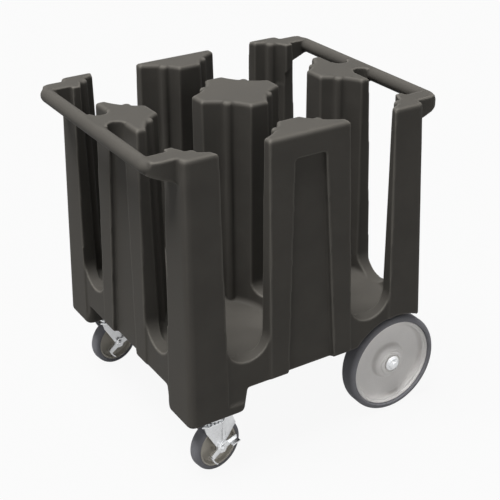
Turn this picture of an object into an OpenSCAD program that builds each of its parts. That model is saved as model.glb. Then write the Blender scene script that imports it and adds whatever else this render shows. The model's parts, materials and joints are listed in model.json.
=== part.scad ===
// Dish caddy: a moulded body with four open silos for stacks of plates, a bar handle at each end,
// two large fixed wheels and two braked swivel casters. X runs from the caster end to the wheel end,
// Y across, Z up from the floor.

/* [Body] */
// Width and length of the body across its pillar tops
body_w = 620; // [610:2:640]
// Height of the pillar tops above the floor
body_h = 800; // [760:5:860]
// Height of the body's underside above the floor
belly_z = 219; // [214:1:226]
// Outward lean of the outer faces, in degrees
draft_a = 1.26; // [0.9:0.02:1.4]
// Radius of the upright outer corners
corner_r = 18; // [10:1:22]
// Radius that rounds the pillar tops and rims
rim_r = 8; // [4:0.5:9]

/* [Silos] */
// Distance of each silo's axis from the two centre planes
silo_at = 155; // [153:0.5:158]
// Radius of a silo at its top
silo_r = 141; // [136:0.5:143]
// How much the silo's radius shrinks from its top to its floor
silo_taper = 6; // [2:0.5:8]
// Height of the silo floors above the floor
silo_floor_z = 288; // [284:1:296]
// Radius between a silo's wall and its floor
silo_fillet_r = 12; // [6:1:16]
// Radius of the upright guide ribs
rib_r = 12; // [9:0.5:14]
// How far the guide ribs stand out of the silo wall
rib_proud = 9; // [5:0.5:10]

/* [Slots] */
// Width of the middle pillars at their tops
mid_w = 210; // [200:1:216]
// Width that a middle pillar gains on each side down to the silo floor
mid_growth = 6; // [2:0.5:8]
// Width of the corner pillars at their tops
post_w = 84; // [80:1:92]
// Width that a corner pillar gains down to the silo floor
post_growth = 3; // [1:0.5:5]
// Distance of the centre pillar's noses from its axis
core_reach = 105; // [100:1:110]
// Distance of the middle pillars' noses from the centre planes
nose_at = 219; // [214:1:224]
// Height of the saddles between neighbouring silos, above the silo floors
saddle_h = 35; // [25:1:50]
// Radius at the foot of the passages between neighbouring silos
saddle_r = 26; // [15:1:40]

/* [Face panels] */
// Height of the tall face recess's top below the pillar tops
recess_drop = 56; // [45:1:70]
// Width of the tall face recess at its top
recess_top_w = 80; // [70:1:90]
// Width of the tall face recess at the bottom of the body
recess_foot_w = 127; // [110:1:135]
// Depth of the tall face recess
recess_deep = 12; // [6:0.5:15]
// Radius of the tall face recess's upper corners
recess_r = 8; // [4:0.5:12]
// Depth of the low panels under the slots
panel_deep = 4; // [2:0.5:6]

/* [Handles] */
// Diameter of the handle bars
rail_d = 34; // [26:1:36]
// Distance of each handle bar's axis from the body's middle
rail_x = 365; // [356:1:370]
// Distance of the handle's arms from the body's length axis
arm_y = 268; // [262:1:270]
// Radius of the handle's bends at its axis
bend_r = 20; // [19:1:34]
// Height of the gusset's foot below the pillar tops
gusset_drop = 56; // [48:1:70]
// Clear distance from the length axis to the handle's arms
arm_clear_y = 220; // [212:1:226]
// Width of the neck between a handle and the middle pillar
neck_w = 52; // [40:1:64]
// Radius of the hollows beside the neck and the arms
web_r = 20; // [10:1:24]

/* [Rear wheels] */
// Outer radius of the rear tyres
wheel_r = 127; // [120:1:130]
// Width of the rear tyres
tyre_w = 46; // [40:1:50]
// Outer radius of the rear wheel discs
disc_r = 112; // [104:1:114]
// Distance of the wheels' outer faces from the length axis
wheel_face_y = 306; // [300:1:310]
// Radius of the wheel arches
arch_r = 145; // [141:1:147]
// Distance of the arches' axis from the body's middle
arch_x = 247; // [244:1:252]
// Radius of the rear axle
axle_r = 9.5; // [8:0.5:10]
// Radius of the hub bushes
bush_r = 13; // [12:0.5:15]
// Radius of the moulded axle pods round the axle
pod_r = 30; // [26:1:34]
// Width of each axle pod
pod_w = 66; // [50:1:80]
// Lean of the axle pods' flanks, in degrees
pod_a = 15; // [8:1:20]

/* [Caster feet] */
// Height of the caster feet's undersides above the floor
foot_z = 163; // [160:0.5:164]
// Distance of the feet's inner ends from the body's middle
foot_x = 176; // [172:1:182]
// Distance of the feet's inner sides from the length axis
foot_y = 212; // [206:1:216]
// Spread of the feet's inner sides up to the underside
foot_flare = 12; // [6:1:16]
// Height of the caster mounting faces above the floor
mount_z = 166; // [165:0.5:170]

/* [Casters] */
// Distance of the swivel axes from the body's middle
caster_x = 240; // [236:1:250]
// Distance of the swivel axes from the length axis
caster_y = 268; // [264:1:271]
// Radius of the caster tyres
caster_r = 63.5; // [60:0.5:65]
// Width of the caster tyres
caster_w = 32; // [28:1:34]
// Radius of the caster wheel cores
core_r = 52; // [46:0.5:54]
// Trail of the caster wheels behind the swivel axis
trail = 8; // [6:1:20]
// Angle that the casters stand turned to at rest, in degrees
caster_yaw = 8; // [-20:1:20]
// Length of the caster plates along the body
plate_l = 98; // [94:1:100]
// Width of the caster plates across the body
plate_w = 84; // [80:1:86]
// Thickness of the pressed steel of plates and forks
steel_t = 3; // [2.5:0.1:3.4]
// Distance between the plate bolts along the body
bolt_dx = 76; // [74:1:80]
// Distance between the plate bolts across the body
bolt_dy = 62; // [60:1:64]
// Radius of the plate bolts
bolt_r = 4; // [3:0.25:4.5]
// Radius of the kingpin
kingpin_r = 6; // [5:0.25:7]
// Radius of the ring of bearing balls
race_r = 25; // [23:0.5:27]
// Radius of one bearing ball
ball_r = 3.5; // [3:0.1:3.6]
// Number of bearing balls in a ring
ball_count = 18; // [12:1:18]
// Depth of the upper race's cup under the plate
race_drop = 18; // [14:0.5:18]
// Half width of the fork's shoulders
shoulder_x = 40; // [36:0.5:41]
// Drop of the fork's shoulders below its crown
shoulder_drop = 20; // [12:1:26]
// Radius of the fork legs round the wheel axle
leg_r = 13; // [11:0.5:15]
// Gap between the caster tyre and each fork leg
leg_gap = 3.5; // [2:0.25:5]
// Radius of the caster axle bolts
caster_axle_r = 5; // [4:0.25:6]
// Reach of the brake lever's low pedal from the wheel axle
pedal_reach = 37; // [32:0.5:42]
// Reach of the brake lever's high pedal from the wheel axle
high_reach = 46; // [40:0.5:50]
// Width of the brake lever's pedals
pedal_w = 15; // [10:0.5:18]

/* [Hidden] */
$fn = 64;

// Colours of the moulding, the metal and the wheels
charcoal = [0.13, 0.13, 0.12];
disc_grey = [0.70, 0.69, 0.67];
tyre_grey = [0.27, 0.27, 0.29];
zinc = [0.80, 0.81, 0.82];
core_brown = [0.45, 0.43, 0.40];

left = 1;
right = -1;
// Overrun of the cuts past the faces that they open
over = 30;
// Thickness of the slices that make up hulled forms
slice = 1;
// Running gap between pieces that turn on each other
run_gap = 0.3;
// Radial gap of shafts in their bores
bore_gap = 0.05;

half_top = body_w / 2;
lean_share = tan(draft_a);
// Distance of the body's outer faces from its centre planes at a height
function face_at(z) = half_top + (body_h - z) * lean_share;

// Points of an arc round a centre, from one angle to another
function arc(c, r, a0, a1, n) = [for (i = [0 : n]) c + r * [cos(a0 + (a1 - a0) * i / n), sin(a0 + (a1 - a0) * i / n)]];

rim_steps = 6;
silo_foot_r = silo_r - silo_taper;
silo_deep = body_h - silo_floor_z;
rib_at = silo_r - rib_proud + rib_r;
rib_lean_a = atan(silo_taper / silo_deep);
rib_round_share = 0.6;
rib_round_r = rib_r * rib_round_share;

slot_in = mid_w / 2;
slot_out = half_top - post_w;
slot_foot_in = slot_in + mid_growth;
slot_foot_out = slot_out - post_growth;
slot_foot_x = (slot_foot_in + slot_foot_out) / 2;
slot_foot_r = (slot_foot_out - slot_foot_in) / 2;
slot_foot_z = silo_floor_z + slot_foot_r;
saddle_z = silo_floor_z + saddle_h;

rail_r = rail_d / 2;
rail_z = body_h - rail_r;
arm_out_y = arm_y + rail_r;
wheel_x = rail_x + rail_r - wheel_r;
wheel_z = wheel_r;
wheel_play = 22;
well_y = wheel_face_y - tyre_w - wheel_play;
pod_out_y = well_y;
axle_end_y = wheel_face_y + axle_r / 2;
hub_step = 4;
hub_in_y = wheel_face_y - tyre_w - hub_step;
hub_out_y = wheel_face_y - hub_step;
hub_len = hub_out_y - hub_in_y;
hub_r = 2 * bush_r;
boss_share = 1.77;
boss_r = hub_r * boss_share;
rim_t_share = 0.04;
rim_t = disc_r * rim_t_share;
web_in_share = 0.4;
web_t = 2 * steel_t;

caster_z = caster_r;
leg_in = caster_w / 2 + leg_gap;
leg_out = leg_in + steel_t;
plate_z = mount_z - steel_t;
upper_race_z = plate_z - race_drop;
ball_z = upper_race_z - ball_r - bore_gap;
crown_z = ball_z - ball_r - bore_gap;
crown_r = race_r + ball_r + steel_t;
hub_pad = leg_gap / 2;
head_t = 2 * steel_t;
// How deep the plate bolts bite into the feet
bolt_bite = 22;
// Shares that shape the arch's lip, the handle's webs, the treads and the plate's and core's edges
arch_lip_share = 0.9;
web_share = 0.96;
shoulder_share = 0.24;
tread_share = 0.3;
plate_corner_share = 0.1;
core_rim_share = 0.06;

// Four discs that span a square slab with round corners
module square_slab(half, r, z) {
    for (sx = [-1, 1], sy = [-1, 1])
        translate([sx * (half - r), sy * (half - r), z])
            cylinder(h = slice, r = r, $fn = 32);
}

// The drafted block that the body is cut from, rounded at its top and bottom edges
module outer_block() {
    hull() {
        for (a = [0 : 30 : 90]) {
            inset = rim_r * (1 - cos(a));
            top = body_h - rim_r + rim_r * sin(a);
            square_slab(face_at(top) - inset, corner_r - inset, top - slice);
        }
        for (a = [0 : 45 : 90]) {
            inset = rim_r * (1 - cos(a));
            foot = belly_z + rim_r - rim_r * sin(a);
            square_slab(face_at(foot) - inset, corner_r - inset, foot);
        }
    }
}

// One foot over a swivel caster, drafted and rounded below
module caster_foot(side) {
    root_z = belly_z + 2 * rim_r;
    hull() {
        for (a = [0 : 45 : 90]) {
            inset = rim_r * (1 - cos(a));
            foot = foot_z + rim_r - rim_r * sin(a);
            foot_slab(side, foot, inset, 0);
        }
        foot_slab(side, root_z - slice, 0, foot_flare);
    }
}

// Four discs that span a slice of a caster foot
module foot_slab(side, z, inset, flare) {
    out = face_at(z) - corner_r;
    for (x = [out, foot_x - flare + corner_r], y = [out, foot_y - flare + corner_r])
        translate([-x, side * y, z])
            cylinder(h = slice, r = corner_r - inset, $fn = 32);
}

// The hollow of one silo, with a round foot and a rounded rim
module silo_cut() {
    rotate_extrude($fn = 96)
        polygon(concat(
            [[0, silo_floor_z]],
            arc([silo_foot_r - silo_fillet_r, silo_floor_z + silo_fillet_r], silo_fillet_r, -90, 0, rim_steps),
            arc([silo_r + rim_r, body_h - rim_r], rim_r, 180, 90, rim_steps),
            [[silo_r + rim_r, body_h + over], [0, body_h + over]]
        ));
}

// Profile of a slot or passage: two flanks that flare over the rounded tops
module flanks(in_foot, out_foot, in_top, out_top, foot) {
    polygon(concat(
        [[in_foot, foot], [out_foot, foot]],
        arc([out_top + rim_r, body_h - rim_r], rim_r, 180, 90, rim_steps),
        [[out_top + rim_r, body_h + over], [in_top - rim_r, body_h + over]],
        arc([in_top - rim_r, body_h - rim_r], rim_r, 90, 0, rim_steps)
    ));
}

// A slot through one outer face into a silo, round at its foot
module slot_cut() {
    rotate([90, 0, 0])
        translate([0, 0, silo_at])
            linear_extrude(half_top - silo_at + over)
                union() {
                    translate([slot_foot_x, slot_foot_z]) circle(r = slot_foot_r);
                    flanks(slot_foot_in, slot_foot_out, slot_in, slot_out, slot_foot_z);
                }
}

// The passage between two neighbouring silos, over a saddle
module passage_cut() {
    rotate([90, 0, 90])
        translate([0, 0, -silo_at])
            linear_extrude(2 * silo_at)
                union() {
                    flanks(core_reach, nose_at, core_reach, nose_at, saddle_z + saddle_r);
                    translate([core_reach, saddle_z + saddle_r])
                        mirror([0, 1]) saddle_profile(nose_at - core_reach);
                }
}

// The round-cornered foot of a passage, hanging from its top edge
module saddle_profile(w) {
    polygon(concat(
        [[0, 0]],
        [[w, 0]],
        arc([w - saddle_r, 0], saddle_r, 0, 90, rim_steps),
        arc([saddle_r, 0], saddle_r, 90, 180, rim_steps)
    ));
}

// A cut into the leaning -Y face, from a profile drawn on that face with its top edge at zero
module face_cut(deep) {
    translate([0, -half_top, body_h])
        rotate([-draft_a, 0, 0])
            translate([0, deep, 0])
                rotate([90, 0, 0])
                    linear_extrude(deep + over)
                        children();
}

// Outline of the tall recess in a middle pillar's face
module recess_outline() {
    foot = belly_z - over - body_h;
    top = recess_top_w / 2;
    low = recess_foot_w / 2;
    polygon(concat(
        [[-low, foot], [low, foot]],
        arc([top - recess_r, -recess_drop - recess_r], recess_r, 0, 90, rim_steps),
        arc([-top + recess_r, -recess_drop - recess_r], recess_r, 90, 180, rim_steps)
    ));
}

// Outline of the low panel under one slot
module panel_outline() {
    foot = belly_z - over - body_h;
    top = slot_foot_z - body_h;
    polygon([
        [slot_foot_in, foot], [slot_foot_out, foot],
        [slot_foot_out, top], [slot_foot_in, top]
    ]);
}

// An upright guide rib that leans with the silo wall and is rounded at its top
module guide_rib() {
    len = silo_deep + silo_fillet_r;
    translate([rib_at, 0, body_h])
        rotate([0, rib_lean_a, 0])
            translate([0, 0, -len])
                rotate_extrude($fn = 48)
                    polygon(concat(
                        [[0, 0], [rib_r, 0]],
                        arc([rib_r - rib_round_r, len - rib_round_r], rib_round_r, 0, 90, rim_steps),
                        [[0, len]]
                    ));
}

// The wheel arch and well of one side, with a level lip towards the body's end
module wheel_well(side) {
    lip_z = wheel_z + arch_r * arch_lip_share;
    deep = face_at(0) - well_y + over;
    translate([arch_x, side * (well_y + deep / 2), wheel_z])
        rotate([90, 0, 0])
            cylinder(h = deep, r = arch_r, center = true, $fn = 96);
    translate([arch_x, side * (well_y + deep / 2) - deep / 2, wheel_z])
        cube([half_top + over - arch_x + over, deep, lip_z - wheel_z]);
}

// One moulded pod that holds the rear axle beside a wheel
module axle_pod(side) {
    rise = belly_z - wheel_z + rim_r;
    foot_x0 = pod_r * cos(pod_a);
    foot_z0 = -pod_r * sin(pod_a);
    top_x0 = foot_x0 + (rise - foot_z0) * tan(pod_a);
    mid_y = side * (pod_out_y - pod_w / 2);
    translate([wheel_x, mid_y + pod_w / 2, wheel_z])
        rotate([90, 0, 0])
            linear_extrude(pod_w)
                union() {
                    circle(r = pod_r);
                    polygon([[-foot_x0, foot_z0], [foot_x0, foot_z0], [top_x0, rise], [-top_x0, rise]]);
                }
}

// One handle: a round bar on bends, with gusseted arms and a middle neck
module handle() {
    bend_y = arm_y - bend_r;
    bend_x = rail_x - bend_r;
    translate([rail_x, 0, rail_z])
        rotate([90, 0, 0])
            cylinder(h = 2 * bend_y, r = rail_r, center = true);
    for (side = [-1, 1])
        translate([bend_x, side * bend_y, rail_z])
            mirror([0, side < 0 ? 1 : 0, 0])
                rotate_extrude(angle = 90, $fn = 96)
                    translate([bend_r, 0]) circle(r = rail_r, $fn = 48);
    intersection() {
        handle_web();
        translate([0, 0, body_h - 2 * gusset_drop])
            linear_extrude(2 * gusset_drop)
                handle_plan();
    }
}

// Side profile of the handle's webs: level on top, sloping under the bar to the gusset's foot
module handle_web() {
    root_x = half_top - post_w / 2;
    face_x = face_at(body_h - gusset_drop);
    run = rail_x - face_x;
    drop = gusset_drop - rail_r;
    slope_a = atan(drop / run);
    tip = [rail_x, rail_z] + rail_r * [sin(slope_a), -cos(slope_a)] * web_share;
    rotate([90, 0, 0])
        linear_extrude(2 * arm_out_y, center = true)
            polygon([
                [root_x, body_h - gusset_drop - (face_x - root_x) * drop / run],
                [face_x, body_h - gusset_drop],
                tip,
                [rail_x, rail_z + rail_r],
                [root_x, body_h]
            ]);
}

// Plan of the arms and the neck, hollowed by round corners beside the finger gaps
module handle_plan() {
    root_x = half_top - post_w / 2;
    bend_y = arm_y - bend_r;
    bend_x = rail_x - bend_r;
    face_x = face_at(body_h);
    gap_x = rail_x - rail_r;
    for (side = [-1, 1])
        mirror([0, side < 0 ? 1 : 0]) {
            polygon(concat(
                [[root_x, arm_out_y], [root_x, arm_clear_y], [rail_x + rail_r, arm_clear_y]],
                arc([bend_x, bend_y], bend_r + rail_r, 0, 90, 2 * rim_steps)
            ));
            corner_fill([gap_x, arm_clear_y], -1, -1);
            corner_fill([face_x, arm_clear_y], 1, -1);
            corner_fill([gap_x, neck_w / 2], -1, 1);
            corner_fill([face_x, neck_w / 2], 1, 1);
        }
    translate([root_x, -neck_w / 2]) square([rail_x - root_x, neck_w]);
}

// A fillet between two walls that meet at a point, with its hollow towards the given quarter
module corner_fill(at, sx, sy) {
    r = min(web_r, (rail_x - rail_r - face_at(body_h)) / 2);
    translate(at)
        mirror([sx < 0 ? 1 : 0, 0])
            mirror([0, sy < 0 ? 1 : 0])
                difference() {
                    translate([-rim_r, -rim_r]) square([r + rim_r, r + rim_r]);
                    translate([r, r]) circle(r = r, $fn = 48);
                }
}

// Blind holes in a foot for the bolts of its caster plate
module bolt_holes(side) {
    for (sx = [-1, 1], sy = [-1, 1])
        translate([-caster_x + sx * bolt_dx / 2, side * caster_y + sy * bolt_dy / 2, foot_z - over])
            cylinder(h = mount_z + bolt_bite - foot_z + over, r = bolt_r + bore_gap, $fn = 32);
}

// The shallow seat of a caster plate under its foot
module plate_seat(side) {
    translate([-caster_x, side * caster_y, mount_z - over / 2])
        cube([plate_l + 2 * run_gap, plate_w + 2 * run_gap, over], center = true);
}

module body() {
    color(charcoal)
    difference() {
        union() {
            difference() {
                union() {
                    outer_block();
                    for (side = [left, right]) caster_foot(side);
                    for (side = [left, right]) axle_pod(side);
                }
                for (sx = [-1, 1], sy = [-1, 1])
                    translate([sx * silo_at, sy * silo_at, 0]) silo_cut();
                for (a = [0 : 90 : 270])
                    rotate([0, 0, a]) {
                        slot_cut();
                        mirror([1, 0, 0]) slot_cut();
                        passage_cut();
                        face_cut(recess_deep) recess_outline();
                        face_cut(panel_deep) panel_outline();
                        face_cut(panel_deep) mirror([1, 0]) panel_outline();
                    }
            }
            for (sx = [-1, 1], sy = [-1, 1], a = [45 : 90 : 315])
                translate([sx * silo_at, sy * silo_at, 0])
                    rotate([0, 0, a]) guide_rib();
            for (a = [0, 180]) rotate([0, 0, a]) handle();
        }
        for (side = [left, right]) {
            wheel_well(side);
            bolt_holes(side);
            plate_seat(side);
        }
        translate([wheel_x, 0, wheel_z])
            rotate([90, 0, 0])
                cylinder(h = 2 * (pod_out_y + over), r = axle_r + bore_gap, center = true);
    }
}

// Turns a revolved piece from Z to the wheel axis of one side, with its outer face outwards
module at_wheel(side, y) {
    translate([wheel_x, side * y, wheel_z])
        rotate([side < 0 ? 90 : -90, 0, 0])
            children();
}

module rear_axle() {
    color(zinc)
    translate([wheel_x, 0, wheel_z])
        rotate([90, 0, 0])
            cylinder(h = 2 * axle_end_y, r = axle_r, center = true);
}

module axle_spacers() {
    color(zinc)
    for (side = [left, right])
        at_wheel(side, pod_out_y)
            difference() {
                cylinder(h = hub_in_y - pod_out_y - run_gap, r = bush_r + steel_t);
                translate([0, 0, -over]) cylinder(h = over + over, r = axle_r + bore_gap);
            }
}

// A rear wheel disc: a stepped rim, a dished web and a hub on a round boss, from its inner hub face outwards
module rear_wheel(side) {
    rim_in = hub_step;
    rim_out = hub_len - hub_step / 2;
    web_in = hub_len * web_in_share;
    web_out = web_in + web_t;
    lip_r = disc_r - rim_t;
    dome_r = boss_r - hub_r;
    color(disc_grey)
    at_wheel(side, hub_in_y)
        rotate_extrude($fn = 96)
            polygon(concat(
                [[bush_r + bore_gap, 0], [hub_r, 0], [hub_r, web_in - hub_step], [boss_r, web_in]],
                [[lip_r - rim_t, web_in], [lip_r, web_in - hub_step], [lip_r, rim_in], [disc_r, rim_in]],
                arc([disc_r - rim_t / 2, rim_out - rim_t / 2], rim_t / 2, 0, 180, rim_steps),
                [[lip_r - rim_t / 2, web_out + rim_t / 2], [lip_r - rim_t, web_out], [boss_r, web_out]],
                arc([hub_r, web_out], dome_r, 0, 60, rim_steps),
                [[hub_r, hub_len - hub_step / 2], [hub_r - steel_t / 2, hub_len], [bush_r + bore_gap, hub_len]]
            ));
}

// A rear tyre: a tread with round shoulders and a bead seat round the disc
module rear_tyre(side) {
    shoulder = tyre_w * shoulder_share;
    color(tyre_grey)
    at_wheel(side, wheel_face_y - tyre_w)
        rotate_extrude($fn = 96)
            polygon(concat(
                [[disc_r, hub_step], [disc_r + hub_step / 2, 0]],
                arc([wheel_r - shoulder, shoulder], shoulder, -90, 0, rim_steps),
                arc([wheel_r - shoulder, tyre_w - shoulder], shoulder, 0, 90, rim_steps),
                [[disc_r + hub_step / 2, tyre_w], [disc_r, tyre_w - hub_step]]
            ));
}

module rear_bush(side) {
    color(core_brown)
    at_wheel(side, hub_in_y)
        difference() {
            cylinder(h = hub_len, r = bush_r);
            translate([0, 0, -over]) cylinder(h = hub_len + 2 * over, r = axle_r + bore_gap);
        }
}

// A pressed cap that keeps a wheel on the axle
module axle_cap(side) {
    flange_t = steel_t / 2;
    flange_r = bush_r + 2 * steel_t;
    cap_r = axle_r + steel_t;
    cap_h = axle_end_y - hub_out_y + flange_t;
    color(zinc)
    at_wheel(side, hub_out_y + run_gap)
        rotate_extrude()
            polygon(concat(
                [[axle_r + bore_gap, 0], [flange_r, 0], [flange_r, flange_t], [cap_r, flange_t]],
                arc([cap_r - flange_t, cap_h], flange_t, 0, 90, rim_steps),
                [[0, cap_h + flange_t], [0, cap_h], [axle_r + bore_gap, cap_h]]
            ));
}

// Places a piece of a caster that does not swivel
module at_mount(side) {
    translate([-caster_x, side * caster_y, 0]) children();
}

// Places a piece of a caster that swivels, turned to its rest angle
module at_swivel(side) {
    at_mount(side) rotate([0, 0, caster_yaw]) children();
}

// Places a revolved piece on a caster's wheel axis, from the +Y side towards -Y
module at_caster_axle(side, y) {
    at_swivel(side)
        translate([trail, y, caster_z])
            rotate([90, 0, 0])
                children();
}

// A mounting plate with round corners, four bolt holes and the pressed upper race
module caster_plate(side) {
    r = plate_w * plate_corner_share;
    color(zinc)
    at_mount(side)
        difference() {
            union() {
                translate([0, 0, plate_z])
                    linear_extrude(steel_t)
                        union() {
                            square([plate_l, plate_w - 2 * r], center = true);
                            square([plate_l - 2 * r, plate_w], center = true);
                            for (sx = [-1, 1], sy = [-1, 1])
                                translate([sx * (plate_l / 2 - r), sy * (plate_w / 2 - r)]) circle(r = r);
                        }
                translate([0, 0, upper_race_z]) cylinder(h = race_drop, r = crown_r);
            }
            translate([0, 0, upper_race_z - over]) cylinder(h = 2 * over, r = kingpin_r + bore_gap);
            for (sx = [-1, 1], sy = [-1, 1])
                translate([sx * bolt_dx / 2, sy * bolt_dy / 2, plate_z - over])
                    cylinder(h = 2 * over, r = bolt_r + bore_gap, $fn = 32);
        }
}

// Four hexagon bolts from under the plate into the foot
module plate_bolts(side) {
    color(zinc)
    at_mount(side)
        for (sx = [-1, 1], sy = [-1, 1])
            translate([sx * bolt_dx / 2, sy * bolt_dy / 2, 0]) {
                translate([0, 0, plate_z]) cylinder(h = bolt_bite, r = bolt_r, $fn = 32);
                translate([0, 0, plate_z - bolt_r]) cylinder(h = bolt_r, r = 2 * bolt_r - bore_gap, $fn = 6);
            }
}

// The kingpin that clamps fork and plate, with its head under the crown
module kingpin(side) {
    head_z = crown_z - steel_t - run_gap;
    color(zinc)
    at_mount(side) {
        translate([0, 0, head_z]) cylinder(h = mount_z - head_z, r = kingpin_r);
        translate([0, 0, head_z - kingpin_r / 2]) cylinder(h = kingpin_r / 2, r1 = kingpin_r, r2 = 2 * kingpin_r);
    }
}

// The ring of balls between the plate's race and the fork's crown
module race_balls(side) {
    color(zinc)
    at_swivel(side)
        for (i = [0 : ball_count - 1])
            rotate([0, 0, i * 360 / ball_count])
                translate([race_r, 0, ball_z])
                    sphere(r = ball_r, $fn = 24);
}

// Outline of one fork leg, from the shoulders down to the axle
module leg_outline() {
    top = crown_z - caster_z;
    polygon(concat(
        [[-shoulder_x, top - shoulder_drop], [-shoulder_x + leg_r, top]],
        [[shoulder_x - leg_r, top], [shoulder_x, top - shoulder_drop]],
        arc([0, 0], leg_r, 25, -205, 2 * rim_steps)
    ));
}

// The pressed fork: a round crown with its race, and two tapered legs joined by a bridge
module fork(side) {
    bridge_z = crown_z - steel_t;
    color(zinc)
    at_swivel(side)
        difference() {
            union() {
                translate([0, 0, bridge_z]) cylinder(h = steel_t, r = crown_r);
                translate([trail - shoulder_x + leg_r, -leg_in - steel_t / 2, bridge_z])
                    cube([2 * (shoulder_x - leg_r), 2 * leg_in + steel_t, steel_t]);
                for (y = [-leg_out, leg_in])
                    translate([trail, y + steel_t, caster_z])
                        rotate([90, 0, 0])
                            linear_extrude(steel_t)
                                leg_outline();
            }
            translate([0, 0, bridge_z - over]) cylinder(h = 2 * over, r = kingpin_r + bore_gap);
            translate([trail, 0, caster_z])
                rotate([90, 0, 0])
                    cylinder(h = 2 * (leg_out + over), r = caster_axle_r + bore_gap, center = true);
        }
}

// The caster wheel's core: rim, web and hub, revolved about its axle
module caster_wheel(side) {
    rim_t = core_r * core_rim_share;
    hub_w = 2 * (leg_in - hub_pad);
    web_t = steel_t;
    hub_outer = 2 * caster_axle_r + steel_t;
    half = caster_w / 2 - hub_pad;
    color(core_brown)
    at_caster_axle(side, 0)
        rotate_extrude($fn = 72)
            polygon([
                [caster_axle_r + steel_t, -hub_w / 2], [hub_outer, -hub_w / 2],
                [hub_outer + steel_t, -web_t], [core_r - 2 * rim_t, -web_t],
                [core_r - rim_t, -half], [core_r, -half],
                [core_r, half], [core_r - rim_t, half],
                [core_r - 2 * rim_t, web_t], [hub_outer + steel_t, web_t],
                [hub_outer, hub_w / 2], [caster_axle_r + steel_t, hub_w / 2]
            ]);
}

module caster_tyre(side) {
    round_r = caster_w * tread_share;
    bead = hub_pad;
    color(tyre_grey)
    at_caster_axle(side, caster_w / 2)
        rotate_extrude($fn = 72)
            polygon(concat(
                [[core_r, bead], [core_r + bead, 0]],
                arc([caster_r - round_r, round_r], round_r, -90, 0, rim_steps),
                arc([caster_r - round_r, caster_w - round_r], round_r, 0, 90, rim_steps),
                [[core_r + bead, caster_w], [core_r, caster_w - bead]]
            ));
}

module caster_bush(side) {
    len = 2 * (leg_in - run_gap);
    color(zinc)
    at_caster_axle(side, len / 2)
        difference() {
            cylinder(h = len, r = caster_axle_r + steel_t - bore_gap);
            translate([0, 0, -over]) cylinder(h = len + 2 * over, r = caster_axle_r + bore_gap);
        }
}

// The wheel's axle bolt, with its head behind the far leg
module caster_axle(side) {
    head = head_t;
    color(zinc)
    at_caster_axle(side, leg_out + head) {
        cylinder(h = head, r = 2 * caster_axle_r, $fn = 6);
        cylinder(h = head + 2 * leg_out + steel_t + run_gap + head_t + steel_t, r = caster_axle_r);
    }
}

module caster_nut(side) {
    color(zinc)
    at_caster_axle(side, -leg_out - steel_t - 2 * run_gap)
        difference() {
            union() {
                cylinder(h = steel_t / 2, r = leg_r - run_gap);
                cylinder(h = head_t, r = 2 * caster_axle_r, $fn = 6);
            }
            translate([0, 0, -over]) cylinder(h = 2 * over, r = caster_axle_r + bore_gap);
        }
}

// A point beside the middle line of a lever arm that points at an angle
function beside(a, r, off) = r * [cos(a), sin(a)] + off * [-sin(a), cos(a)];

// Outline of the brake lever: a boss with a low arm and a longer high arm
module lever_outline(low_a, high_a) {
    half = leg_r / 2;
    low_end = pedal_reach - steel_t / 2;
    polygon(concat(
        [beside(high_a, high_reach, -half), beside(high_a, high_reach, half)],
        arc([0, 0], leg_r, high_a + 40, low_a - 35, 2 * rim_steps),
        [beside(low_a, low_end, -half), beside(low_a, low_end, half)],
        arc([0, 0], leg_r, low_a + 35, high_a + 320, rim_steps)
    ));
}

// The brake lever: a boss on the axle, a low arm with a curved pedal and a high arm with a straight one
module brake_lever(side) {
    low_a = 213;
    high_a = 14;
    spread_a = 22;
    half = leg_r / 2;
    color(zinc)
    at_caster_axle(side, -leg_out - run_gap)
        difference() {
            union() {
                linear_extrude(steel_t) lever_outline(low_a, high_a);
                linear_extrude(pedal_w)
                    polygon(concat(
                        arc([0, 0], pedal_reach, low_a - spread_a, low_a + spread_a, rim_steps),
                        arc([0, 0], pedal_reach - steel_t, low_a + spread_a, low_a - spread_a, rim_steps)
                    ));
                linear_extrude(pedal_w)
                    polygon([
                        beside(high_a, high_reach / 2, -half - bore_gap),
                        beside(high_a, high_reach - bore_gap, -half - bore_gap),
                        beside(high_a, high_reach - bore_gap, -half + steel_t),
                        beside(high_a, high_reach / 2, -half + steel_t)
                    ]);
            }
            translate([0, 0, -over]) cylinder(h = 2 * over, r = caster_axle_r + bore_gap);
        }
}

body();
rear_axle();
axle_spacers();
rear_wheel(left);  // rear_wheel_left
rear_wheel(right);  // rear_wheel_right
rear_tyre(left);  // rear_tyre_left
rear_tyre(right);  // rear_tyre_right
rear_bush(left);  // rear_bush_left
rear_bush(right);  // rear_bush_right
axle_cap(left);  // axle_cap_left
axle_cap(right);  // axle_cap_right
caster_plate(left);  // caster_plate_left
caster_plate(right);  // caster_plate_right
plate_bolts(left);  // plate_bolts_left
plate_bolts(right);  // plate_bolts_right
kingpin(left);  // kingpin_left
kingpin(right);  // kingpin_right
race_balls(left);  // race_balls_left
race_balls(right);  // race_balls_right
fork(left);  // fork_left
fork(right);  // fork_right
caster_wheel(left);  // caster_wheel_left
caster_wheel(right);  // caster_wheel_right
caster_tyre(left);  // caster_tyre_left
caster_tyre(right);  // caster_tyre_right
caster_bush(left);  // caster_bush_left
caster_bush(right);  // caster_bush_right
caster_axle(left);  // caster_axle_left
caster_axle(right);  // caster_axle_right
caster_nut(left);  // caster_nut_left
caster_nut(right);  // caster_nut_right
brake_lever(left);  // brake_lever_left
brake_lever(right);  // brake_lever_right
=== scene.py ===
import bmesh
import bpy
import itertools
import json
import math
from mathutils import Matrix, Vector

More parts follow.
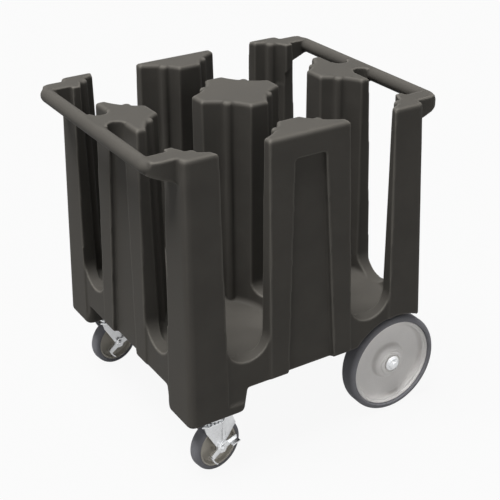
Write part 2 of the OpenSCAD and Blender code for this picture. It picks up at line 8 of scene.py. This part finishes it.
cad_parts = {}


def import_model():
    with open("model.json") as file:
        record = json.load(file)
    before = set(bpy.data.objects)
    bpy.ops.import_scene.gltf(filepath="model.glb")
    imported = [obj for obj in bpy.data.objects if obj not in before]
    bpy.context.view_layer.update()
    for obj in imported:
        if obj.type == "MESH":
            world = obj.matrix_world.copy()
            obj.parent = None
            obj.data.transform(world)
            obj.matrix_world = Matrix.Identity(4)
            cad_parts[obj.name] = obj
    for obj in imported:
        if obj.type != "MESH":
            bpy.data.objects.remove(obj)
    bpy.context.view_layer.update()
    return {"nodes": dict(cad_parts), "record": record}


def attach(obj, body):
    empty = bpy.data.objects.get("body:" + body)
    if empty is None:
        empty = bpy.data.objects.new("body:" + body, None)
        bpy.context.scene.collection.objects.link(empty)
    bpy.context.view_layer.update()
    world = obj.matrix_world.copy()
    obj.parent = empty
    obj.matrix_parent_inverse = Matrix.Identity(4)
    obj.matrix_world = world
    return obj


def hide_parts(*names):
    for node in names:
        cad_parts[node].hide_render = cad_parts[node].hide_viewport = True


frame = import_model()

# Dish caddy: the CAD frame dressed with a rounded moulding, rubber, plastic and zinc, on a pale floor.
# All lengths are in metres and all colours are linear. Angles are in degrees or stand in math.radians().

NODES = frame["nodes"]
SLOT_OF = {part["node"]: part["material_slot"] for part in frame["record"]["subparts"]}
SIDES = (("left", 1), ("right", -1))

# Camera, as fitted to the photograph
CAMERA_AT = (-1.2963, -2.1738, 1.6938)
CAMERA_AZIMUTH = 31.500
CAMERA_ELEVATION = 23.861
CAMERA_ROLL = -0.726
CAMERA_REACH = 100
FOCAL_PX = 1150.28
FRAME_PX = 500
SENSOR_MM = 36.0
AXIS_ROW_PX = 178.44

# Lamps: name, direction as seen from the object, strength and softness
LAMPS = (
    ("overhead", (-0.24, 0.03, 1.0), 6.4, 34),
    ("end_fill", (-1.0, -0.05, 0.30), 0.32, 50),
    ("side_fill", (0.25, -1.0, 0.15), 0.85, 60),
)
# The world's brightness as light on the surfaces, as background and, from dim to bright, in reflections
WORLD_LIGHT = 0.03
WORLD_SEEN = 0.98
WORLD_BANDS = (0.25, 1.0)
# The noise that makes the bands: its scale, and the values between which dim turns to bright
BAND_SCALE = 2.2
BAND_EDGES = (0.40, 0.52)
# The floor's size, how much of it glows white to the camera, and how much of that glow reflections see
FLOOR_SPAN = 60
FLOOR_GLOW = 0.93
FLOOR_GLOW_REFLECTED = 0.5
FLOOR_PALE = (0.22, 0.22, 0.22)
FLOOR_VARIATION = 0.01
FLOOR_NOISE_SCALE = 3.0
FLOOR_ROUGHNESS = 0.9
# In every surface: the share of fine grain in the colour, and the values of noise and of a mesh's
# pointiness between which the colour, the gloss and the painted highlight on outer edges turn from one end to
# the other
GRAIN_SHARE = 0.4
COLOR_EDGES = (0.35, 0.65)
GLOSS_EDGES = (0.3, 0.7)
EDGE_HIGHLIGHT_POINTINESS = (0.505, 0.545)

# Resolution and rounding of the moulding
VOXEL = 0.0028
ROUNDING_STEPS = 3
ROUNDING_SHARE = 0.5

# The body in the CAD frame: where its silos stand and how its outer faces lean
SILO_AT = (0.155, 0.155)
SILO_R = 0.141
SILO_TAPER = 0.006
SILO_FLOOR = 0.288
BODY_TOP = 0.800
BODY_HALF = 0.310
FACE_LEAN = math.tan(math.radians(1.26))
# How far the silos are drawn out towards the corner posts, and how far under their floors that starts
DRAWN_OUT = 0.018
DRAWN_BELOW = 0.004

# The handles in the CAD frame, with the bar's axis as distance out and height
RAIL_AT = (0.365, 0.783)
RAIL_R = 0.017
# The steps in which the cutter's outline goes round the bar
RAIL_STEP = 15
# How far the windows are opened, from the length axis, over the body's top and off its end faces
WINDOW_SPAN = (0.198, 0.2405)
CUT_OVER = 0.03
FACE_CLEARANCE = 0.0003
# Where the roots of the handles' webs are trimmed, beside the slots and round the silos
WEB_FOOT = 0.690
SLOT_OUT = 0.2264
FLANK_SPAN = (0.255, 0.330)
WEB_TURNS = [math.radians(24 + i * 1.55) for i in range(11)]
WEB_CUT_R = 0.11
WALL_CLEARANCE = 0.0002

# The casters in the CAD frame, and the height of their axles
CASTER_AT = (-0.240, 0.268)
CASTER_YAW = math.radians(8)
CASTER_AXLE_Z = 0.0635
TRAIL = 0.008
# The crease down each leg of a fork, measured from the swivel axis along and across the fork
LEG_IN = 0.0195
CREASE_AT = 0.012
CREASE_FOOT = 0.074
CREASE_RISE = 0.0028
# The legs' shoulders: their foot, then start and end along the fork and how far each is moved along it
SHOULDER_FOOT = 0.128
SHOULDERS = ((-0.034, -0.012, -0.016), (0.028, 0.052, 0.008))
# The lip at the fork's front: where it starts, and how far it is moved out and down
LIP_FOOT = 0.110
LIP_AT = 0.044
LIP_OUT = 0.005
LIP_DROP = 0.006
# How near a vertex of the fork is to a plane or a face to count as on it
ON_PLANE = 1e-5
ON_FACE = 0.001

# Half the section of a caster wheel's core as radius and distance from its middle
CORE_HALF = [
    (0.00800, 0.0177), (0.0128, 0.0177), (0.0132, 0.0160), (0.0160, 0.0045), (0.0190, 0.0032),
    (0.0415, 0.0036), (0.0440, 0.0050), (0.0462, 0.0105), (0.0470, 0.0132), (0.0484, 0.0146),
    (0.0502, 0.0149), (0.0514, 0.0144), (0.0520, 0.0130)]
CORE_PROFILE = CORE_HALF + [(radius, -height) for radius, height in reversed(CORE_HALF)]
CORE_STEPS = 96

# The rear axle in the CAD frame, and the inner faces of the wheels' discs and of the washers on its ends
AXLE_AT = (0.255, 0.127)
DISC_BACK = 0.256
WASHER_BACK = 0.3023
# A rear disc's section as radius and height over its inner face
DISC_PROFILE = [
    (0.01305, 0.0), (0.0260, 0.0), (0.0260, 0.0150), (0.0460, 0.0175), (0.0975, 0.0175),
    (0.1040, 0.0125), (0.1040, 0.0040), (0.1120, 0.0040), (0.1120, 0.0425), (0.1114, 0.0438),
    (0.1102, 0.0445), (0.1088, 0.0442), (0.1078, 0.0430), (0.1072, 0.0405), (0.1062, 0.0392),
    (0.1035, 0.0386), (0.1022, 0.0374), (0.1008, 0.0300), (0.0994, 0.0270), (0.0972, 0.0254),
    (0.0940, 0.0250), (0.0500, 0.0246), (0.0478, 0.0250), (0.0460, 0.0268), (0.0446, 0.0312),
    (0.0420, 0.0362), (0.0380, 0.0398), (0.0340, 0.0410), (0.0326, 0.0416), (0.0318, 0.0430),
    (0.0310, 0.0450), (0.0292, 0.0460), (0.0232, 0.0460), (0.0226, 0.0425), (0.0206, 0.0425),
    (0.0202, 0.0460), (0.01305, 0.0460)]
DISC_STEPS = 144

# The pieces on the rear axle's ends, as radius and height over the washer's inner face
WASHER_PROFILE = [(0.0188, 0), (0.0195, 0.0004), (0.0195, 0.0012), (0.0188, 0.0018), (0.0150, 0.0026)]
WASHER_STEPS = 72
NUT_PROFILE = [(0.0138, 0.0020), (0.0138, 0.0078), (0.0125, 0.0090)]
NUT_STEPS = 6
THREAD_R = 0.0086
THREAD_ROOT_R = 0.0080
THREAD_START = 0.0085
THREAD_PITCH = 0.0007
THREAD_TURNS = 4
THREAD_FOOT = 0.0030
THREAD_END = [(0.0070, 0.0114), (0.0040, 0.0117)]
THREAD_STEPS = 48

# What counts as one point, as one flat face and as a crisp edge, and the cuts across a bevel
WELD = 1e-6
FLAT_WITHIN = math.radians(0.5)
CRISP_FROM = math.radians(32)
BEVEL_CUTS = 2
# Bevel widths, and the angles from which edges are shaded sharp
FORK_BEVEL = 0.0006
FORK_SHARP = 25
NUT_BEVEL = 0.0003
NUT_SHARP = 30
DISC_SHARP = 38
# CAD nodes that only get small bevels: node, body, bevel width and sharp angle, each on both sides
SOFTENED = (
    ("rear_tyre_", "rear_wheel_", 0.0006, 40),
    ("caster_tyre_", "caster_wheel_", 0.0005, 40),
    ("caster_nut_", "caster_", 0.0004, 30),
    ("brake_lever_", "brake_", 0.0005, 30),
)


# Shader nodes

def node_adder(tree):
    """A function that adds a node to a tree, sets or links its inputs and gives back its outputs."""
    def add(kind, inputs=None, **settings):
        node = tree.nodes.new(kind)
        for key, value in settings.items():
            setattr(node, key, value)
        for key, value in (inputs or {}).items():
            if isinstance(value, bpy.types.NodeSocket):
                tree.links.new(value, node.inputs[key])
            else:
                node.inputs[key].default_value = value
        return node.outputs

    return add


def shader(name):
    """A new material with its node tree, its Principled shader and a function that adds linked nodes."""
    material = bpy.data.materials.new(name)
    material.use_nodes = True
    tree = material.node_tree
    return material, tree, tree.nodes["Principled BSDF"], node_adder(tree)


def tint(color, share):
    """A colour made brighter or darker, with full opacity."""
    return tuple(channel * share for channel in color) + (1.0,)


def mixed_number(add, share, first, second):
    """A number between two others, by the number sockets of the Mix node."""
    return add("ShaderNodeMix", {0: share, 2: first, 3: second}, data_type="FLOAT")[0]


def mixed_color(add, share, first, second):
    """A colour between two others, by the colour sockets of the Mix node."""
    return add("ShaderNodeMix", {0: share, 6: first, 7: second}, data_type="RGBA")[2]


def remapped(add, value, source, target=(0.0, 1.0)):
    """A number taken from one range to another and kept within the second."""
    return add("ShaderNodeMapRange", {"Value": value, "From Min": source[0], "From Max": source[1],
                                      "To Min": target[0], "To Max": target[1]})[0]


# Materials

def surface_material(name, color, roughness, spread, patch, grain, bump, variation, specular=0.5,
                     metallic=0.0, painted_edge_highlight=0.0):
    """A procedural surface: broad patches and fine grain in the colour, uneven gloss and a fine bump.

    patch and grain are noise scales per metre, spread is half the range of the roughness, bump is the grain's
    height in metres, variation is half the range of the colour's brightness, and the last argument is the
    strength of a painted highlight: how much paler the colour is made along the outer edges.
    """
    material, tree, surface, add = shader(name)
    place = add("ShaderNodeTexCoord")["Object"]
    patches = add("ShaderNodeTexNoise", {"Vector": place, "Scale": patch, "Detail": 3.0})["Fac"]
    grains = add("ShaderNodeTexNoise", {"Vector": place, "Scale": grain, "Detail": 2.0})["Fac"]
    share = remapped(add, mixed_number(add, GRAIN_SHARE, patches, grains), COLOR_EDGES)
    colour = mixed_color(add, share, tint(color, 1 - variation), tint(color, 1 + variation))
    # Painted highlight: pointy outer edges get a paler colour, standing in for light caught on the rounded
    # edges.
    if painted_edge_highlight:
        edge = remapped(add, add("ShaderNodeNewGeometry")["Pointiness"], EDGE_HIGHLIGHT_POINTINESS)
        colour = mixed_color(add, edge, colour, tint(color, 1 + painted_edge_highlight))
    gloss = remapped(add, patches, GLOSS_EDGES, (roughness - spread, roughness + spread))
    relief = add("ShaderNodeBump", {"Height": grains, "Distance": bump, "Strength": 1.0})["Normal"]
    tree.links.new(colour, surface.inputs["Base Color"])
    tree.links.new(gloss, surface.inputs["Roughness"])
    tree.links.new(relief, surface.inputs["Normal"])
    surface.inputs["Metallic"].default_value = metallic
    surface.inputs["Specular IOR Level"].default_value = specular
    return material


FINISHES = {
    # The moulding's last setting paints a highlight along its outer edges.
    "moulded_body": dict(color=(0.0595, 0.0557, 0.0495), roughness=0.58, spread=0.06, patch=14, grain=900,
                         bump=0.00012, variation=0.10, specular=0.06, painted_edge_highlight=0.8),
    "tyre_rubber": dict(color=(0.185, 0.185, 0.200), roughness=0.66, spread=0.08, patch=30, grain=700,
                        bump=0.0001, variation=0.10, specular=0.35),
    "wheel_disc": dict(color=(0.80, 0.78, 0.76), roughness=0.42, spread=0.06, patch=18, grain=500,
                       bump=0.00005, variation=0.035, specular=0.4),
    "caster_core": dict(color=(0.50, 0.47, 0.41), roughness=0.45, spread=0.06, patch=40, grain=600,
                        bump=0.00005, variation=0.08, specular=0.4),
    "bush_plastic": dict(color=(0.30, 0.29, 0.27), roughness=0.5, spread=0.05, patch=60, grain=600,
                         bump=0.00004, variation=0.05, specular=0.4),
    "zinc_steel": dict(color=(0.90, 0.91, 0.92), roughness=0.33, spread=0.09, patch=60, grain=450,
                       bump=0.00003, variation=0.06, metallic=1.0),
}
MATERIALS = {name: surface_material(name, **finish) for name, finish in FINISHES.items()}


def paint(obj, slot):
    """Gives an object the material of a slot as its only one."""
    obj.data.materials.clear()
    obj.data.materials.append(MATERIALS[slot])


# What the pieces share

def finished(piece, mesh, name, body, slot, replaced, sharp=None):
    """Makes a mesh the look of a piece that rides on a body and stands for CAD nodes.

    sharp is the angle from which an edge is shaded sharp. Without it every edge is shaded smooth.
    """
    piece.data = mesh
    piece.name = name
    paint(piece, slot)
    for face in mesh.polygons:
        face.use_smooth = True
    if sharp:
        mesh.set_sharp_from_angle(angle=math.radians(sharp))
    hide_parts(*replaced)
    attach(piece, body)


def linked(name, data):
    """An object in the scene that shows a mesh, a lamp or a camera."""
    obj = bpy.data.objects.new(name, data)
    bpy.context.scene.collection.objects.link(obj)
    return obj


def mesh_of(shape, name):
    """A mesh from a shape that is no longer needed."""
    mesh = bpy.data.meshes.new(name)
    shape.to_mesh(mesh)
    shape.free()
    return mesh


def applied(piece):
    """The mesh that a piece's modifiers make of it. They are then taken off."""
    changed = piece.evaluated_get(bpy.context.evaluated_depsgraph_get())
    mesh = bpy.data.meshes.new_from_object(changed)
    piece.modifiers.clear()
    return mesh


def polar(centre, reach, turn):
    """A point at a distance and an angle from a centre."""
    return centre[0] + reach * math.cos(turn), centre[1] + reach * math.sin(turn)


def ring_faces(shape, lower, upper):
    """Joins two rings of as many vertices by a wall of faces."""
    count = len(lower)
    for i in range(count):
        shape.faces.new((lower[i], lower[(i + 1) % count], upper[(i + 1) % count], upper[i]))


def turned(shape, profile, steps, place):
    """Adds the wall turned from a profile of radius and height, and gives back its rings of vertices."""
    turns = [2 * math.pi * i / steps for i in range(steps)]
    rings = []
    for radius, height in profile:
        points = [place @ Vector((*polar((0, 0), radius, turn), height)) for turn in turns]
        rings.append([shape.verts.new(point) for point in points])
    for lower, upper in zip(rings, rings[1:]):
        ring_faces(shape, lower, upper)
    return rings


def turned_solid(shape, profile, steps, place):
    """Adds a closed form turned from an open profile, with flat ends."""
    rings = turned(shape, profile, steps, place)
    shape.faces.new(list(reversed(rings[0])))
    shape.faces.new(rings[-1])


def turned_disc(name, profile, steps, place, wheel, slot):
    """A wheel's piece turned from a closed profile. It stands for the CAD node that has the wheel's name."""
    shape = bmesh.new()
    rings = turned(shape, profile, steps, place)
    ring_faces(shape, rings[-1], rings[0])
    bmesh.ops.recalc_face_normals(shape, faces=shape.faces)
    mesh = mesh_of(shape, name)
    finished(linked(name, mesh), mesh, name, wheel, slot, [wheel], DISC_SHARP)


def plain_copy(node):
    """A CAD node's mesh with its flat faces joined up again."""
    shape = bmesh.new()
    shape.from_mesh(NODES[node].data)
    bmesh.ops.remove_doubles(shape, verts=shape.verts, dist=WELD)
    bmesh.ops.dissolve_limit(shape, angle_limit=FLAT_WITHIN, verts=shape.verts, edges=shape.edges)
    return shape


def beveled(shape, name, width):
    """A piece and its mesh from a shape, with a small bevel along its crisp edges."""
    piece = linked(name, mesh_of(shape, name))
    edges = piece.modifiers.new("edges", "BEVEL")
    edges.limit_method = "ANGLE"
    edges.angle_limit = CRISP_FROM
    edges.width = width
    edges.segments = BEVEL_CUTS
    return piece, applied(piece)


def softened(node, body, width, sharp):
    """A CAD node as it is, with small bevels."""
    piece, mesh = beveled(plain_copy(node), "soft_" + node, width)
    finished(piece, mesh, "soft_" + node, body, SLOT_OF[node], [node], sharp)


# The moulding

def face_at(z, clearance=0.0):
    """How far a leaning outer face of the body stands from its middle at a height."""
    return BODY_HALF + clearance + (BODY_TOP - z) * FACE_LEAN


def drawn_out(point):
    """Moves a point of a silo's wall out towards the corner post, with the outer faces left in place."""
    if point.z < SILO_FLOOR - DRAWN_BELOW:
        return point
    east, north = abs(point.x) - SILO_AT[0], abs(point.y) - SILO_AT[1]
    if east <= 0 or north <= 0:
        return point
    reach = math.hypot(east, north)
    turn = math.atan2(north, east)
    wall = SILO_R - SILO_TAPER * (BODY_TOP - point.z) / (BODY_TOP - SILO_FLOOR)
    face = (face_at(point.z) - SILO_AT[0]) / max(math.cos(turn), math.sin(turn))
    moved = wall + DRAWN_OUT * math.sin(2 * turn) ** 2
    if reach >= face:
        return point
    if reach <= wall:
        share = moved / wall
    else:
        share = (moved + (reach - wall) * (face - moved) / (face - wall)) / reach
    x, y = SILO_AT[0] + east * share, SILO_AT[1] + north * share
    return Vector((math.copysign(x, point.x), math.copysign(y, point.y), point.z))


def prism(shape, outline, span, upright, signs):
    """Adds a closed prism in the quarter of the body that the signs give.

    An upright prism has its outline in plan and its span in height. Another has its outline as seen from the
    side, and its span across the body.
    """
    def place(first, second, third):
        x, y, z = (first, second, third) if upright else (first, third, second)
        return shape.verts.new((x * signs[0], y * signs[1], z))

    near = [place(first, second, span[0]) for first, second in outline]
    far = [place(first, second, span[1]) for first, second in outline]
    ring_faces(shape, near, far)
    shape.faces.new(near)
    shape.faces.new(list(reversed(far)))


def window_cutter():
    """What opens the handles' windows up to slim arms and trims the roots of their webs."""
    shape = bmesh.new()
    top = BODY_TOP + CUT_OVER
    rail_x, rail_z = RAIL_AT
    at_rail = (face_at(rail_z, FACE_CLEARANCE), rail_z)
    half_turn = [math.radians(turn) for turn in range(180, -1, -RAIL_STEP)]
    quarter_turn = [math.radians(turn) for turn in range(180, 89, -RAIL_STEP)]
    below = [(face_at(WEB_FOOT, FACE_CLEARANCE), WEB_FOOT), at_rail]
    below += [polar(RAIL_AT, RAIL_R, -turn) for turn in half_turn] + [(rail_x + RAIL_R, WEB_FOOT)]
    above = [at_rail] + [polar(RAIL_AT, RAIL_R, turn) for turn in quarter_turn]
    above += [(rail_x, top), (face_at(top, FACE_CLEARANCE), top)]
    flank = [(FLANK_SPAN[0], WINDOW_SPAN[0]), (FLANK_SPAN[1], WINDOW_SPAN[0]),
             (FLANK_SPAN[1], SLOT_OUT), (FLANK_SPAN[0], SLOT_OUT)]
    silo = [polar(SILO_AT, WEB_CUT_R, turn) for turn in WEB_TURNS]
    silo += [polar(SILO_AT, SILO_R - WALL_CLEARANCE + DRAWN_OUT * math.sin(2 * turn) ** 2, turn)
             for turn in reversed(WEB_TURNS)]
    for signs in itertools.product((1, -1), repeat=2):
        prism(shape, below, WINDOW_SPAN, False, signs)
        prism(shape, above, WINDOW_SPAN, False, signs)
        prism(shape, flank, (WEB_FOOT, top), True, signs)
        prism(shape, silo, (WEB_FOOT, top), True, signs)
    bmesh.ops.recalc_face_normals(shape, faces=shape.faces)
    return linked("window_cutter", mesh_of(shape, "window_cutter"))


def moulding():
    """The body as a rotational moulding: thin corner posts, slim handle arms, and every edge rounded."""
    piece = linked("moulding", NODES["body"].data.copy())
    for vertex in piece.data.vertices:
        vertex.co = drawn_out(vertex.co)
    cutter = window_cutter()
    windows = piece.modifiers.new("windows", "BOOLEAN")
    windows.operation = "DIFFERENCE"
    windows.solver = "EXACT"
    windows.use_self = True
    windows.object = cutter
    voxels = piece.modifiers.new("voxels", "REMESH")
    voxels.mode = "VOXEL"
    voxels.voxel_size = VOXEL
    rounding = piece.modifiers.new("rounding", "SMOOTH")
    rounding.factor = ROUNDING_SHARE
    rounding.iterations = ROUNDING_STEPS
    mesh = applied(piece)
    bpy.data.objects.remove(cutter)
    finished(piece, mesh, "moulding", "frame", "moulded_body", ["body"])


# Casters

def caster_axes(sign):
    """The foot of a caster's swivel axis, and the directions along and across its fork."""
    foot = Vector((CASTER_AT[0], sign * CASTER_AT[1], 0))
    along = Vector((math.cos(CASTER_YAW), math.sin(CASTER_YAW), 0))
    return foot, along, Vector((-along.y, along.x, 0))


def fork(side, sign):
    """The pressed fork: the CAD fork with a crease up each leg, wider shoulders and a deeper front lip."""
    node = "fork_" + side
    shape = plain_copy(node)
    foot, along, across = caster_axes(sign)
    crease_foot = (Vector((0, 0, CREASE_FOOT)), Vector((0, 0, 1)))
    crease_line = (foot + along * CREASE_AT, along)
    for point, normal in (crease_foot, crease_line):
        everything = shape.verts[:] + shape.edges[:] + shape.faces[:]
        bmesh.ops.bisect_plane(shape, geom=everything, plane_co=point, plane_no=normal)
    for vertex in shape.verts:
        ahead, aside = (vertex.co - foot).dot(along), (vertex.co - foot).dot(across)
        on_leg = abs(aside) > LEG_IN - ON_FACE
        if on_leg and abs(ahead - CREASE_AT) < ON_PLANE and vertex.co.z > CREASE_FOOT + ON_FACE:
            vertex.co += across * math.copysign(CREASE_RISE, aside)
        if on_leg and vertex.co.z > SHOULDER_FOOT:
            for start, end, shift in SHOULDERS:
                if start < ahead < end:
                    vertex.co += along * shift
        elif vertex.co.z > LIP_FOOT and ahead > LIP_AT:
            vertex.co += along * LIP_OUT - Vector((0, 0, LIP_DROP))
    piece, mesh = beveled(shape, "pressed_" + node, FORK_BEVEL)
    finished(piece, mesh, "pressed_" + node, "caster_" + side, SLOT_OF[node], [node], FORK_SHARP)


def caster_core(side, sign):
    """A caster wheel's core: a rolled lip on each side, a dished web and a hub between the legs."""
    foot, along, _ = caster_axes(sign)
    place = Matrix.Translation(foot + along * TRAIL + Vector((0, 0, CASTER_AXLE_Z)))
    place = place @ Matrix.Rotation(CASTER_YAW, 4, "Z") @ Matrix.Rotation(math.radians(90), 4, "X")
    wheel = "caster_wheel_" + side
    turned_disc("caster_core_" + side, CORE_PROFILE, CORE_STEPS, place, wheel, "caster_core")


# Rear wheels

def on_axle(distance, sign):
    """The place of a turned form on the rear axle that starts at a distance and points outwards."""
    place = Matrix.Translation((AXLE_AT[0], sign * distance, AXLE_AT[1]))
    return place @ Matrix.Rotation(math.radians(-90 * sign), 4, "X")


def rear_disc(side, sign):
    """A rear wheel's disc: a rolled lip, a rim wall down to the recessed web, and a stepped boss."""
    place = on_axle(DISC_BACK, sign)
    wheel = "rear_wheel_" + side
    turned_disc("rear_disc_" + side, DISC_PROFILE, DISC_STEPS, place, wheel, "wheel_disc")


def axle_nut(side, sign):
    """The end of the rear axle: a dished washer, a hexagon nut and the axle's rounded thread."""
    thread = [(THREAD_R, THREAD_FOOT)]
    for turn in range(THREAD_TURNS):
        crest = THREAD_START + turn * THREAD_PITCH
        thread += [(THREAD_R, crest), (THREAD_ROOT_R, crest + THREAD_PITCH / 2)]
    shape = bmesh.new()
    for profile, steps in ((WASHER_PROFILE, WASHER_STEPS), (NUT_PROFILE, NUT_STEPS),
                           (thread + THREAD_END, THREAD_STEPS)):
        turned_solid(shape, profile, steps, on_axle(WASHER_BACK, sign))
    bmesh.ops.recalc_face_normals(shape, faces=shape.faces)
    name = "axle_nut_" + side
    piece, mesh = beveled(shape, name, NUT_BEVEL)
    finished(piece, mesh, name, "frame", "zinc_steel", ["axle_cap_" + side], NUT_SHARP)


# Floor, light and camera

def floor():
    """A pale floor that takes soft shadows and is nearly white to the camera."""
    bpy.ops.mesh.primitive_plane_add(size=FLOOR_SPAN, location=(0, 0, 0))
    ground = bpy.context.object
    ground.name = "floor"
    material, tree, surface, add = shader("floor")
    noise = add("ShaderNodeTexNoise", {"Scale": FLOOR_NOISE_SCALE})["Fac"]
    darker, lighter = tint(FLOOR_PALE, 1 - FLOOR_VARIATION), tint(FLOOR_PALE, 1 + FLOOR_VARIATION)
    pale = mixed_color(add, noise, darker, lighter)
    tree.links.new(pale, surface.inputs["Base Color"])
    surface.inputs["Roughness"].default_value = FLOOR_ROUGHNESS
    surface.inputs["Specular IOR Level"].default_value = 0.0
    rays = add("ShaderNodeLightPath")
    reflected = add("ShaderNodeMath", {0: rays["Is Glossy Ray"], 1: FLOOR_GLOW_REFLECTED},
                    operation="MULTIPLY")[0]
    seen = add("ShaderNodeMath", {0: reflected, 1: rays["Is Camera Ray"]}, operation="MAXIMUM")[0]
    share = add("ShaderNodeMath", {0: seen, 1: FLOOR_GLOW}, operation="MULTIPLY")[0]
    glow = add("ShaderNodeEmission", {"Color": (1, 1, 1, 1), "Strength": 1.0})[0]
    both = add("ShaderNodeMixShader", {0: share, 1: surface.outputs[0], 2: glow})[0]
    tree.links.new(both, tree.nodes["Material Output"].inputs["Surface"])
    ground.data.materials.append(material)


def world():
    """A white background, dim for the light on the surfaces and in soft bands for what they reflect."""
    sky = bpy.data.worlds.new("studio")
    sky.use_nodes = True
    tree = sky.node_tree
    add = node_adder(tree)
    rays = add("ShaderNodeLightPath")
    place = add("ShaderNodeTexCoord")["Generated"]
    noise = add("ShaderNodeTexNoise", {"Vector": place, "Scale": BAND_SCALE, "Detail": 0.0})["Fac"]
    bands = remapped(add, noise, BAND_EDGES, WORLD_BANDS)
    level = mixed_number(add, rays["Is Glossy Ray"], WORLD_LIGHT, bands)
    seen = mixed_number(add, rays["Is Camera Ray"], level, WORLD_SEEN)
    background = tree.nodes["Background"]
    background.inputs["Color"].default_value = (1, 1, 1, 1)
    tree.links.new(seen, background.inputs["Strength"])
    bpy.context.scene.world = sky


def sun(name, direction, strength, softness):
    """A soft lamp that shines from a direction, given as seen from the object."""
    lamp = bpy.data.lights.new(name, "SUN")
    lamp.energy = strength
    lamp.angle = math.radians(softness)
    obj = linked(name, lamp)
    obj.rotation_mode = "QUATERNION"
    obj.rotation_quaternion = Vector(direction).to_track_quat("Z", "Y")


def camera():
    """The photograph's camera, with the picture shifted to where its optical axis lies."""
    azimuth = math.radians(CAMERA_AZIMUTH)
    elevation = math.radians(CAMERA_ELEVATION)
    roll = math.radians(CAMERA_ROLL)
    ahead = Vector((math.sin(azimuth) * math.cos(elevation), math.cos(azimuth) * math.cos(elevation),
                    -math.sin(elevation)))
    right = Vector((math.cos(azimuth), -math.sin(azimuth), 0.0))
    up = right.cross(ahead)
    right, up = right * math.cos(roll) + up * math.sin(roll), up * math.cos(roll) - right * math.sin(roll)
    data = bpy.data.cameras.new("camera")
    data.sensor_width = SENSOR_MM
    data.lens = FOCAL_PX / FRAME_PX * SENSOR_MM
    data.shift_y = (AXIS_ROW_PX - FRAME_PX / 2) / FRAME_PX
    data.clip_end = CAMERA_REACH
    obj = linked("camera", data)
    turn = Matrix((right, up, -ahead)).transposed()
    obj.matrix_world = Matrix.Translation(CAMERA_AT) @ turn.to_4x4()
    bpy.context.scene.camera = obj


camera()
floor()
world()
for lamp in LAMPS:
    sun(*lamp)

for node, obj in NODES.items():
    paint(obj, SLOT_OF[node])
moulding()
for side, sign in SIDES:
    axle_nut(side, sign)
    fork(side, sign)
    rear_disc(side, sign)
    caster_core(side, sign)
    for node, body, width, sharp in SOFTENED:
        softened(node + side, body + side, width, sharp)

bpy.context.scene.view_settings.view_transform = "Standard"
